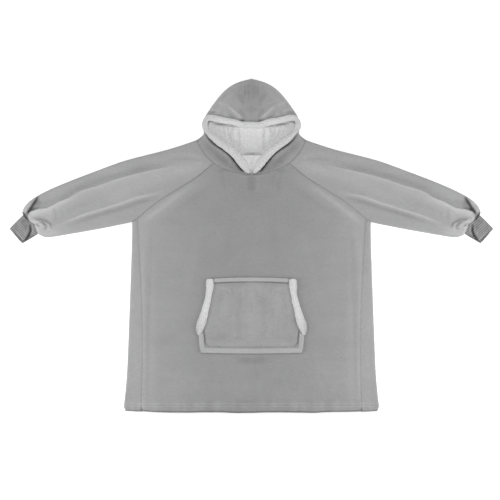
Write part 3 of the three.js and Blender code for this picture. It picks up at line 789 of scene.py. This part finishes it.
sleeve = {
    "thickness": 5 * mm,
    "paler": 0.2,
    "valley": 0.45 * mm,
    "valleyReach": 7 * mm,
    "sewn": lambda rim: rim[:, 2] > 6 * mm,
    "lowest": 6 * mm,
    "finerFrom": 0.6,
    "largestFace": 3.5e-6,
    "mouth": [(803, 121), (748, 39)],
    # How far the gathered mouth lies back from that line, in mm, at shares of its length
    "drawnBack": [(0, 0), (0.04, 0), (0.1, 3.5), (0.18, 8), (0.23, 9), (0.30, 5), (0.445, 1.7),
                  (0.575, 6.4), (0.62, 10.2), (0.775, 4.6), (0.93, 1.9), (1, 0)],
    "patches": [
        (0.35, (480, 262), (190, 12)),
        (0.3, (330, 300), (120, 10)),
        (-1.0, (768, 127), (9, 7)),
        (-0.8, (748, 146), (15, 10)),
        (-0.5, (724, 150), (22, 10)),
        (-0.3, (352, 262), (70, 12)),
        (0.3, (215, 265), (60, 30)),
        (0.4, (780, 100), (5, 8)),
        (-0.5, (788, 134), (8, 14)),
        (0.6, (752, 55), (6, 16)),
    ],
    "brushAndShadeStrokes": [
        (2.2, 1.8, 1.8, [(640, 164), (700, 134), (719, 129), (735, 127), (752, 123), (768, 117),
                         (783, 106)]),
        (1.5, 2.2, 2.2, [(784, 108), (780, 98), (775, 88), (766, 80), (758, 78)]),
        (1.2, 1.8, 1.8, [(268, 280), (390, 253), (460, 234), (530, 210), (599, 189), (640, 166)]),
        (0.8, 3, 3, [(758, 74), (754, 60), (747, 46), (738, 36)]),
        (1.0, 2, 2, [(313, 188), (390, 171), (460, 147), (530, 126), (600, 104), (656, 80)]),
    ],
    "creases": [
        (2.8, 6, 20, [(268, 279), (320, 268), (390, 252), (460, 233), (530, 209), (599, 188),
                      (635, 167)]),
        (6.5, 3.0, 18, [(610, 180), (635, 167), (670, 153), (705, 134), (719, 129), (735, 127),
                      (750, 124), (763, 120), (773, 116), (782, 107)]),
        (2.2, 2.2, 3, [(268, 279), (320, 268), (390, 252), (460, 233), (530, 209), (599, 188),
                       (635, 167), (670, 153), (705, 136)]),
        (2.0, 3, 3, [(330, 183), (390, 170), (460, 146), (530, 125), (600, 103), (656, 79)]),
        (-2.4, 14, 8, [(300, 288), (390, 268), (460, 251), (530, 229), (610, 199), (680, 163)]),
        (3.0, 8, 7, [(313, 186), (390, 170), (460, 146), (530, 125), (600, 103), (656, 79)]),
        (-3.0, 6, 9, [(320, 170), (390, 153), (460, 131), (540, 107), (640, 73)]),
        (1.8, 22, 22, [(215, 275), (300, 246), (400, 208), (530, 160)]),
        (1.6, 22, 18, [(165, 298), (205, 280), (270, 256)]),
        (2.2, 18, 18, [(768, 96), (742, 68), (712, 54), (660, 62)]),
        (-1.4, 4, 5, [(160, 299), (198, 303), (250, 304), (300, 298)]),
        (1.2, 8, 8, [(180, 316), (240, 322), (300, 318)]),
        (-8.0, 2.4, 7, [(745, 175), (751, 165), (760, 151), (769, 136), (778, 122), (785, 108)]),
        (-3.0, 4, 16, [(748, 170), (760, 151), (769, 136), (780, 116)]),
        (-6.0, 2.2, 7, [(790, 102), (779, 116), (769, 122), (754, 128), (738, 133)]),
        (3.2, 8, 6, [(762, 168), (777, 147), (787, 129), (794, 116)]),
        (-4.5, 4, 6, [(766, 99), (749, 94), (733, 92), (718, 87), (704, 77), (697, 63)]),
        (2.6, 4, 5, [(768, 90), (757, 86), (747, 81), (731, 72), (729, 65)]),
        (-3.4, 4, 4, [(735, 86), (729, 83), (719, 72), (717, 62), (728, 59)]),
        (2.2, 5, 5, [(716, 86), (708, 76), (706, 64), (712, 54)]),
        (-2.0, 3, 3, [(754, 79), (747, 72), (742, 66)]),
        (3.4, 6, 5, [(781, 104), (778, 94), (771, 84), (762, 79), (752, 80)]),
        (3.0, 6, 6, [(756, 74), (751, 62), (745, 50), (738, 42)]),
        (-3.0, 2.5, 2.5, [(757, 78), (750, 74), (742, 69)]),
        (1.4, 7, 7, [(744, 42), (732, 40), (700, 42), (660, 50)]),
        (-1.2, 6, 6, [(686, 133), (684, 107), (689, 69)]),
        (-0.8, 6, 6, [(664, 130), (660, 110), (663, 92)]),
        (0.9, 9, 9, [(700, 120), (698, 108), (704, 96)]),
        (-1.0, 8, 8, [(560, 150), (600, 140), (650, 120)]),
    ],
    "undersideCreases": [
        (2.2, 12, 9, [(300, 230), (400, 205), (520, 160), (640, 110)]),
        (1.8, 9, 12, [(360, 150), (470, 118), (600, 78), (680, 60)]),
        (2.2, 9, 9, [(250, 280), (340, 262), (430, 240)]),
    ],
}
sleeves = []
for side in sides:
    piece = skinFrom(f"sleeve_{side}", f"sleeve_{side}_cloth", (sleevePlush,), top=False)
    refine(piece, sleeve["largestFace"], sleeve["finerFrom"])
    points = readPoints(piece)
    distance, _, along = besideLine(points, sleeve["mouth"])
    drawn = np.interp(along, *np.transpose(sleeve["drawnBack"])) * mm
    drawn *= (distance < 30) * (1 - ease(distance, 0, 30))
    points += drawn[:, None] * np.stack([-0.83 * np.sign(points[:, 0]), 0.557 + 0 * drawn, 0 * drawn], 1)
    movePoints(piece, points)
    layCloth(piece, sleeve, 31 if side == "right" else 37, ripple=(0.6, 0.4))
    thicken(piece, sleeve["thickness"], rimOnly=True, rounded=0)
    shadeSmooth(piece)
    finishPiece(piece, [f"sleeve_{side}"])
    sleeves.append(piece)


# Cuffs

cuff = {
    "rib": 7.2 * mm,
    "acrossRibs": (-0.64, 0.768),
    "tucked": 12 * mm,
    "largestFace": 1.4e-6,
    "paler": 0.25,
    "patches": [
        (-0.8, (789, 65), (6, 11)),
        (-0.6, (801, 84), (9, 5)),
        (0.5, (767, 52), (6, 12)),
        (-0.9, (772, 32), (24, 4)),
        (1.2, (803, 13), (4, 4)),
    ],
    "brushAndShadeStrokes": [
        (2.4, 2.2, 2.2, [(827, 52), (819, 43), (809, 33), (800, 24), (792, 15)]),
        (-3.6, 1.8, 1.8, [(838, 54), (826, 41), (818, 32), (810, 24), (802, 16), (796, 8)]),
        (-7.0, 2.8, 2.8, [(774, 72), (773, 52), (776, 44), (784, 28), (798, 15)]),
        (-4.0, 3, 3, [(798, 112), (790, 100), (783, 90)]),
        (1.0, 3, 3, [(800, 70), (792, 52), (790, 38)]),
    ],
    "stitch": 2.2 * mm,
    "sewnEdge": [(803, 121), (748, 39)],
    "creases": [
        (-9.0, 3.6, 3, [(773, 76), (773, 62), (773, 52), (776, 44), (784, 28), (795, 17)]),
        (2.4, 4, 4, [(763, 68), (764, 52), (769, 40)]),
        (1.6, 5, 5, [(782, 70), (783, 54), (790, 38), (800, 28)]),
        (-9.0, 3, 3, [(797, 114), (790, 103), (784, 93), (779, 84)]),
        (-2.8, 3, 3, [(788, 92), (794, 88), (803, 81)]),
        (1.8, 5, 5, [(816, 92), (810, 78), (803, 60)]),
        (-2.2, 6, 6, [(789, 76), (789, 65), (792, 54)]),
        (-1.4, 5, 5, [(826, 78), (822, 64), (816, 52)]),
        (-6.0, 3, 3, [(752, 43), (768, 33), (785, 22), (797, 14)]),
        (4.0, 2.2, 2.2, [(838, 54), (828, 43), (817, 33), (806, 22)]),
        (-5.5, 2.2, 2.2, [(832, 44), (823, 33), (815, 25), (807, 16)]),
    ],
}


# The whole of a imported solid, smoothed. Firm edges keep its rims from drawing in.
def wholeFrom(node, name, finishes, levels, firm=0):
    piece = copyOf(node, name, finishes)
    editMode(piece)
    bpy.ops.mesh.select_all(action="SELECT")
    bpy.ops.mesh.remove_doubles(threshold=0.02 * mm)
    bpy.ops.mesh.tris_convert_to_quads(
        face_threshold=math.radians(50), shape_threshold=math.radians(60)
    )
    if firm:
        bpy.ops.mesh.select_mode(type="EDGE")
        bpy.ops.mesh.select_all(action="DESELECT")
        bpy.ops.mesh.edges_select_sharp(sharpness=math.radians(56))
        bpy.ops.transform.edge_crease(value=firm)
        bpy.ops.mesh.select_mode(type="FACE")
    objectMode()
    applyModifier(piece, "SUBSURF", levels=levels, render_levels=levels)
    return piece


for side in sides:
    piece = wholeFrom(f"cuff_{side}", f"cuff_{side}_knit", (cuffKnit,), 2, firm=0.9)
    refine(piece, cuff["largestFace"])
    points = readPoints(piece)
    fromSewn, _, along = besideLine(points, cuff["sewnEdge"])
    tucked = cuff["tucked"] * (1 - ease(fromSewn, 0, 36)) * ease(along, 0.02, 0.2)
    tucked *= 1 - ease(along, 0.85, 1)
    points += tucked[:, None] * np.stack([-0.83 * np.sign(points[:, 0]), 0.557 + 0 * tucked, 0 * tucked], 1)
    flat = np.abs(points[:, :1]) * [1, 0] + points[:, 1:2] * [0, 1]
    across, up = cuff["acrossRibs"]
    ribs = flat @ (across, up) / cuff["rib"]
    rows = flat @ (up, -across) / cuff["stitch"]
    attribute = piece.data.attributes.new("knit", "FLOAT_VECTOR", "POINT")
    attribute.data.foreach_set("vector", np.stack([ribs, rows, 0 * ribs], axis=1).ravel())
    lift = creaseLift(points, cuff["creases"]) * ease(readPoints(piece, "normal")[:, 2], 0.3, 0.9)
    # Painted shade in the creases, hollows and along the free edge, and painted highlight on the ridges
    paintedShading = lift / (3 * mm) + shadeAndNapPatches(points, cuff["patches"], 36) + cuff["paler"]
    paint(piece, "paintedShading", paintedShading + creaseLift(points, cuff["brushAndShadeStrokes"]) / mm)
    points[:, 2] = np.maximum(points[:, 2] + lift, np.minimum(points[:, 2], 4 * mm))
    movePoints(piece, points)
    shadeSmooth(piece)
    finishPiece(piece, [f"cuff_{side}"])


# Hood

faceEdge = [(13, 254), (35, 287), (66, 323), (105, 352), (145, 384), (156, 407), (157, 431),
            (129, 445), (80, 434), (31, 420), (0, 423)]
hood = {
    "thickness": 5 * mm,
    "paler": 0,
    "valley": 0.8 * mm,
    "valleyReach": 7 * mm,
    "patches": [
        (0.18, (0, 508), (46, 34)),
        (-0.4, (27, 524), (13, 16)),
        (-0.1, (0, 540), (20, 16)),
        (-0.22, (0, 462), (22, 26)),
        (0.75, (120, 505), (26, 40)),
        (0.5, (70, 447), (24, 7)),
        (0.5, (108, 457), (22, 8)),
        (0.4, (140, 466), (16, 7)),
        (-0.45, (95, 300), (32, 26)),
        (-0.35, (50, 262), (30, 16)),
    ],
    "brushAndShadeStrokes": [
        (1.1, 2.5, 2.5, [(158, 462), (142, 484), (122, 508), (97, 540), (72, 561), (40, 577)]),
        (0.8, 2.5, 2.5, [(34, 446), (50, 461), (66, 476), (84, 490)]),
        (0.5, 2.5, 2.5, [(84, 490), (104, 497), (124, 500)]),
        (-0.6, 2, 2, [(12, 574), (12, 545), (9, 500)]),
        (-0.5, 2, 2, [(25, 566), (23, 540), (20, 515)]),
        (-0.5, 2, 2, [(152, 468), (130, 466), (108, 462)]),
    ],
    "sewn": lambda rim: (rim[:, 2] > 6 * mm)
    & (np.abs(rim[:, 0]) > 2 * mm)
    & (besideLine(rim, faceEdge)[0] > 10),
    "lowest": 8 * mm,
    "creases": [
        (4.4, 5, 7, [(34, 443), (50, 460), (66, 475), (82, 490)]),
        (1.6, 6, 6, [(84, 486), (102, 496), (118, 502)]),
        (-6.0, 3.5, 3.5, [(26, 440), (33, 434), (41, 438)]),
        (-3.0, 4, 4, [(60, 446), (68, 450), (74, 456)]),
        (-2.4, 5, 6, [(20, 445), (30, 462), (44, 478)]),
        (-2.2, 8, 8, [(56, 538), (42, 522), (32, 506), (26, 486)]),
        (-1.5, 3.5, 3.5, [(9, 572), (10, 548), (8, 520)]),
        (-1.4, 3.5, 3.5, [(22, 566), (21, 545), (18, 530)]),
        (-1.2, 4, 4, [(38, 560), (40, 548), (48, 536)]),
        (2.4, 7, 7, [(162, 452), (143, 488), (114, 524), (75, 554), (37, 571)]),
        (-1.6, 24, 24, [(0, 590), (0, 545), (0, 500), (0, 455)]),
        (-3.6, 17, 13, [(172, 372), (150, 345), (120, 318), (90, 292), (60, 270), (35, 254)]),
        (-9.0, 5, 4, [(160, 390), (148, 374), (128, 355), (105, 340), (84, 325), (66, 309),
                      (50, 291), (36, 271), (22, 255)]),
        (-5.0, 9, 8, [(72, 310), (62, 300), (48, 282), (34, 264), (26, 254)]),
        (-1.2, 5, 5, [(0, 478), (20, 476), (42, 480)]),
        (-2.8, 4, 4, [(152, 463), (140, 467), (124, 467)]),
        (1.8, 6, 6, [(146, 474), (130, 477), (108, 470)]),
        (-1.4, 4, 4, [(112, 452), (104, 462), (98, 474)]),
        (1.2, 5, 5, [(92, 452), (90, 464), (92, 478)]),
        (-1.2, 4, 4, [(78, 448), (76, 458), (80, 470)]),
        (1.2, 10, 10, [(100, 500), (80, 520), (62, 545)]),
        (-1.0, 8, 8, [(128, 490), (110, 510), (92, 530)]),
    ],
    "undersideCreases": [
        (2.0, 10, 10, [(20, 380), (70, 420), (120, 440)]),
        (1.8, 9, 9, [(20, 500), (60, 480), (110, 470)]),
    ],
}
for side in sides:
    piece = skinFrom(
        f"hood_{side}", f"hood_{side}_cloth", (hoodPlush, innerFleece), top=False, sharp=64
    )
    points = readPoints(piece)
    points[np.abs(points[:, 0]) < 0.6 * mm, 0] *= 0.05
    movePoints(piece, points)
    layCloth(piece, hood, 41 if side == "right" else 43, ripple=(0.8, 0.6))
    thicken(piece, hood["thickness"])
    shadeSmooth(piece)
    finishPiece(piece, [f"hood_{side}"])


# Sherpa lining inside the hood, and the trim round its opening

curls = {"lining": (7 * mm, 0.7 * mm), "hood": (6 * mm, 2.2 * mm), "pocket": (6 * mm, 2.0 * mm)}


# Raises small uneven curls over a whole surface
def curlUp(piece, spacing, height, seed):
    points, normals = readPoints(piece), readPoints(piece, "normal")
    area = sum(face.area for face in piece.data.polygons)
    rng = np.random.default_rng(seed)
    count = min(len(points) // 3, int(1.5 * area / spacing**2))
    chosen = rng.permutation(len(points))[:count]
    tree = kdtree.KDTree(count)
    for index, point in enumerate(points[chosen]):
        tree.insert(point, index)
    tree.balance()
    tall = rng.uniform(0.45, 1.0, count)
    lift = np.zeros(len(points))
    for index, point in enumerate(points):
        (_, first, near), (_, _, far) = tree.find_n(point, 2)
        lift[index] = tall[first] * min(1, (far - near) / (0.75 * spacing)) ** 0.6
    lift = lift * height + 0.25 * height * softNoise(points, 3 * spacing, seed)
    movePoints(piece, points + normals * (lift - 0.45 * height)[:, None])
    applyModifier(piece, "SMOOTH", factor=0.5, iterations=1)


lining = {
    "panelHeight": 2.5 * mm,
    "patches": [
        (-0.3, (104, 419), (30, 7)),
        (0.55, (80, 400), (18, 14)),
        (0.5, (112, 408), (10, 8)),
        (0.35, (0, 400), (40, 14)),
        (-1.4, (0, 321), (22, 3.5)),
    ],
    "brushAndShadeStrokes": [
        (-0.6, 3, 3, [(98, 414), (96, 396), (91, 380)]),
        (-0.5, 3, 3, [(82, 416), (81, 400), (75, 386)]),
        (-0.5, 3, 3, [(113, 416), (113, 404), (110, 394)]),
        (-0.4, 3, 3, [(68, 414), (67, 398), (62, 380)]),
        (0.5, 3, 3, [(90, 412), (88, 396), (84, 382)]),
        (0.6, 4, 4, [(57, 412), (59, 392), (54, 368)]),
        (-0.9, 2.5, 2.5, [(132, 423), (112, 427), (92, 424), (76, 426)]),
    ],
    "creases": [
        (15.0, 8, 26, [(-80, 417), (0, 417), (30, 416), (66, 425)]),
        (-3.2, 4, 4, [(46, 416), (47, 398), (45, 372)]),
        (1.6, 6, 5, [(38, 414), (37, 395), (35, 375)]),
        (-2.6, 5, 5, [(74, 434), (100, 430), (134, 424)]),
        (-0.8, 14, 14, [(132, 408), (112, 396), (84, 384)]),
        (2.0, 9, 9, [(62, 412), (66, 385), (60, 360)]),
        (-2.4, 3, 3, [(32, 321), (16, 322), (0, 322)]),
    ],
}
piece = skinFrom("hood_lining", "hood_lining_fleece", (liningFleece,), top=True, levels=4)
points = readPoints(piece)
panel = (1 - ease(np.abs(points[:, 0]), 0.034, 0.05)) * ease(points[:, 1], 0.318, 0.35)
points[:, 2] += creaseLift(points, lining["creases"]) + lining["panelHeight"] * panel
points[:, 2] += 0.9 * mm * softNoise(points, 0.03, 51)
movePoints(piece, points)
# Painted shade in the lining's hollows and creases, and painted highlight between them
paintedShading = shadeAndNapPatches(points, lining["patches"], 53) + creaseLift(points, lining["brushAndShadeStrokes"]) / mm
paint(piece, "paintedShading", paintedShading)
thicken(piece, 3 * mm, rimOnly=True, rounded=0)
curlUp(piece, *curls["lining"], 52)
shadeSmooth(piece, 180)
finishPiece(piece, ["hood_lining"])

piece = wholeFrom("hood_trim", "hood_trim_sherpa", (trimSherpa,), 3)
points, normals = readPoints(piece), readPoints(piece, "normal")
lower = 1 - ease(points[:, 1], 0.372, 0.408)
points += normals * (1.4 * mm * lower)[:, None]
points[:, 0] -= np.sign(points[:, 0]) * 3.5 * mm * lower * ease(np.abs(points[:, 0]), 0, 0.016)
points[:, 1] += 2.2 * mm * lower * ease(points[:, 1], 0.26, 0.30)
points += normals * (1.2 * mm * softNoise(points, 0.019, 62))[:, None]
inner = np.clip(-normals[:, 0] * np.sign(points[:, 0]), 0, 1)
points[:, 0] -= np.sign(points[:, 0]) * 2.5 * mm * inner * (1 - ease(points[:, 1], 0.29, 0.32))
movePoints(piece, points)
# Painted highlight along the top middle of the trim and painted shade on its sides
paintedShading = 0.65 * ease(points[:, 1], 0.40, 0.43) * (1 - ease(np.abs(points[:, 0]), 0.08, 0.16))
paint(piece, "paintedShading", paintedShading - 0.25 * ease(np.abs(points[:, 0]), 0.14, 0.165))
curlUp(piece, *curls["hood"], 61)
shadeSmooth(piece, 180)
finishPiece(piece, ["hood_trim"])


# Pocket

pocket = {
    "thickness": 4 * mm,
    "valley": 1.2 * mm,
    "valleyReach": 10 * mm,
    "binding": 18.5 * mm,
    "creases": [
        (1.2, 14, 14, [(0, -140), (0, -230), (0, -345)]),
        (-1.0, 10, 12, [(34, -160), (44, -230), (40, -310)]),
        (0.9, 14, 12, [(80, -150), (92, -200), (84, -270)]),
        (-0.8, 9, 9, [(110, -160), (118, -215), (126, -260)]),
        (-0.9, 10, 10, [(60, -300), (100, -322), (150, -330)]),
        (0.7, 10, 10, [(20, -340), (70, -348), (120, -346)]),
        (-0.9, 6, 8, [(0, -134), (60, -136), (120, -134)]),
    ],
    "brushAndShadeStrokes": [
        (-2.6, 2.2, 2.2, [(-30, -127), (40, -127.5), (90, -129), (132, -132), (150, -134)]),
        (-2.8, 2.2, 2.2, [(167, -284), (166, -302), (163, -322), (161, -340), (150, -353)]),
        (-0.8, 2.2, 2.2, [(158, -350), (140, -353), (60, -354), (-40, -354)]),
        (-0.6, 3, 3, [(47, -294), (46, -312), (52, -330)]),
        (-0.5, 3, 3, [(37, -300), (36, -326)]),
        (0.5, 4, 4, [(112, -146), (90, -152), (66, -166)]),
        (-0.5, 3, 3, [(72, -148), (64, -168)]),
        (-0.5, 3, 3, [(86, -152), (82, -172)]),
        (-0.4, 5, 5, [(-8, -196), (0, -205), (0, -235), (-8, -250)]),
        (0.4, 5, 5, [(24, -136), (30, -160), (26, -190)]),
    ],
}
piece = skinFrom("pocket", "pocket_cloth", (pocketPlush, innerFleece), top=True, levels=4)
points = readPoints(piece)
distance = rimDistance(piece)
lift = creaseLift(points, pocket["creases"]) + 0.4 * mm * softNoise(points, 0.028, 71)
lift += 0.4 * mm * softNoise(points, 0.013, 72)
lift *= ease(distance, 0, 14 * mm)
points[:, 2] += lift - pocket["valley"] * (1 - ease(distance, 0, pocket["valleyReach"]))
movePoints(piece, points)
# The seam darkening and groove fall along the bindings' inner edges as painted shade; the creases and
# strokes paint shade in troughs and under the bindings, and highlight on ridges
paint(piece, "seamDistance", np.abs(distance - pocket["binding"]))
paint(piece, "paintedShading", lift / (3 * mm) + creaseLift(points, pocket["brushAndShadeStrokes"]) / mm)
thicken(piece, pocket["thickness"])
shadeSmooth(piece)
finishPiece(piece, ["pocket"])

for side in sides:
    piece = wholeFrom(f"pocket_trim_{side}", f"pocket_trim_{side}_sherpa", (trimSherpa,), 3)
    points, normals = readPoints(piece), readPoints(piece, "normal")
    tip = 1 - ease(points[:, 1], -0.30, -0.22)
    slim = ease(points[:, 1], -0.27, -0.225) * (1 - ease(points[:, 1], -0.175, -0.14))
    points += normals * (0.6 + 2.6 * tip - 2.6 * slim)[:, None] * mm * [1, 1, 0.4]
    points[:, 1] -= 5 * mm * tip
    movePoints(piece, points)
    # Painted shade on the outer side and the lower tip of each trim
    outer = ease(normals[:, 0] * np.sign(points[:, 0]), -0.2, 0.9)
    paint(piece, "paintedShading", 0.3 - 0.9 * outer * (0.4 + tip) - 0.5 * tip)
    curlUp(piece, *curls["pocket"], 81 if side == "right" else 83)
    shadeSmooth(piece, 180)
    finishPiece(piece, [f"pocket_trim_{side}"])

for node in ("pocket_top_binding", "pocket_low_binding"):
    piece = wholeFrom(node, f"{node}_cloth", (bindingPlush,), 2, firm=0.5)
    paint(piece, "seamDistance", np.full(len(piece.data.vertices), 0.02))
    shadeSmooth(piece)
    finishPiece(piece, [node])


# Stitches along the hem and the inner edge of the pocket's bindings

sewing = {
    "pitch": 4.4 * mm,
    "stitch": (3.2 * mm, 0.9 * mm, 0.45 * mm),  # length, width and half height
    "hem": [[(-440, y), (0, y), (440, y)] for y in (-558.5, -568.5)],
    "pocket": [
        [(-128, -126.5), (0, -125.5), (128, -126.5)],
        [(-168, -312), (-168, -350), (-160, -361), (0, -361.5), (160, -361), (168, -350),
         (168, -312)],
    ],
}


# Places one small rounded stitch after another along lines, on top of whatever lies under them
def sewAlong(name, lines, onto, seed, settings):
    bpy.ops.object.select_all(action="DESELECT")
    bpy.ops.mesh.primitive_uv_sphere_add(segments=6, ring_count=4, radius=0.5)
    one = bpy.context.object
    shape = readPoints(one) * settings["stitch"] * [1, 1, 2]
    sides = [tuple(face.vertices) for face in one.data.polygons]
    bpy.ops.object.delete()
    trees = [
        BVHTree.FromPolygons(readPoints(p), [tuple(f.vertices) for f in p.data.polygons])
        for p in onto
    ]
    rng = np.random.default_rng(seed)
    points, faces = [], []
    for line in lines:
        path = roundedLine(line, 24) * mm
        reach = np.concatenate([[0], np.cumsum(np.linalg.norm(np.diff(path, axis=0), axis=1))])
        for stop in np.arange(settings["pitch"] / 2, reach[-1], settings["pitch"]):
            here = [np.interp(stop, reach, path[:, axis]) for axis in (0, 1)]
            there = [np.interp(stop + mm, reach, path[:, axis]) for axis in (0, 1)]
            hits = [tree.ray_cast(Vector((*here, 0.2)), Vector((0, 0, -1))) for tree in trees]
            hits = [hit for hit in hits if hit[0] is not None]
            if not hits:
                continue
            place, normal = max(hits, key=lambda hit: hit[0].z)[:2]
            turn = Vector((there[0] - here[0], there[1] - here[1], 0)).normalized()
            turn.rotate(Vector((0, 0, 1)).rotation_difference(normal))
            axes = np.array([turn, normal.cross(turn), normal])
            scale = rng.uniform(0.92, 1.05)
            faces += [tuple(len(points) + corner for corner in face) for face in sides]
            points += list(np.array(place) + shape * scale @ axes)
    mesh = bpy.data.meshes.new(name)
    mesh.from_pydata(points, [], faces)
    piece = bpy.data.objects.new(name, mesh)
    bpy.context.scene.collection.objects.link(piece)
    mesh.materials.append(thread)
    shadeSmooth(piece, 180)
    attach(piece, "root")
    print(f"{name}: {len(faces)} faces")


bindings = [bpy.data.objects[f"pocket_{place}_binding_cloth"] for place in ("top", "low")]
sewAlong("hem_stitches", sewing["hem"], [front, back], 5, sewing)
sewAlong("pocket_stitches", sewing["pocket"], bindings, 2, sewing)


# Studio: white floor, broad soft light from above the hem end, and an overhead fill

studio = {
    "viewWidth": 1.75,
    "lens": 200,
    "centre": (-0.005, -0.0154),
    "world": 0.36,
    "lamps": {  # power, size and place
        "right": (10, 0.9, (1.35, -0.42, 0.8)),
        "left": (10, 0.9, (-1.35, -0.42, 0.8)),
        "above": (106, 1.6, (0, 2.2, 5.5)),
    },
}
bpy.ops.object.select_all(action="DESELECT")
bpy.ops.mesh.primitive_plane_add(size=40, location=(0, 0, 0))
floor = bpy.context.object
floor.name = "studio_floor"
whiteFloor, tree, shader = startFinish("whiteFloor", (0.93, 0.93, 0.93), 0, 0.5, 0.9)
shader.inputs["Emission Color"].default_value = (1, 1, 1, 1)
shader.inputs["Emission Strength"].default_value = 0.4
floor.data.materials.append(whiteFloor)

for name, (power, size, place) in studio["lamps"].items():
    bpy.ops.object.light_add(type="AREA", location=place)
    lamp = bpy.context.object
    lamp.name = f"{name}_light"
    lamp.data.energy, lamp.data.size = power, size
    lamp.visible_camera = False
    lamp.rotation_euler = (-Vector(place)).to_track_quat("-Z", "Y").to_euler()

world = bpy.data.worlds.new("paleStudio")
world.use_nodes = True
world.node_tree.nodes["Background"].inputs["Color"].default_value = (1, 1, 1, 1)
world.node_tree.nodes["Background"].inputs["Strength"].default_value = studio["world"]
bpy.context.scene.world = world
bpy.context.scene.view_settings.view_transform = "Standard"

distance = studio["viewWidth"] * studio["lens"] / 36
bpy.ops.object.camera_add(location=(*studio["centre"], distance + 0.012), rotation=(0, 0, 0))
camera = bpy.context.object
camera.data.lens, camera.data.sensor_width = studio["lens"], 36
camera.data.clip_end = 100
bpy.context.scene.camera = camera
print("studio set")
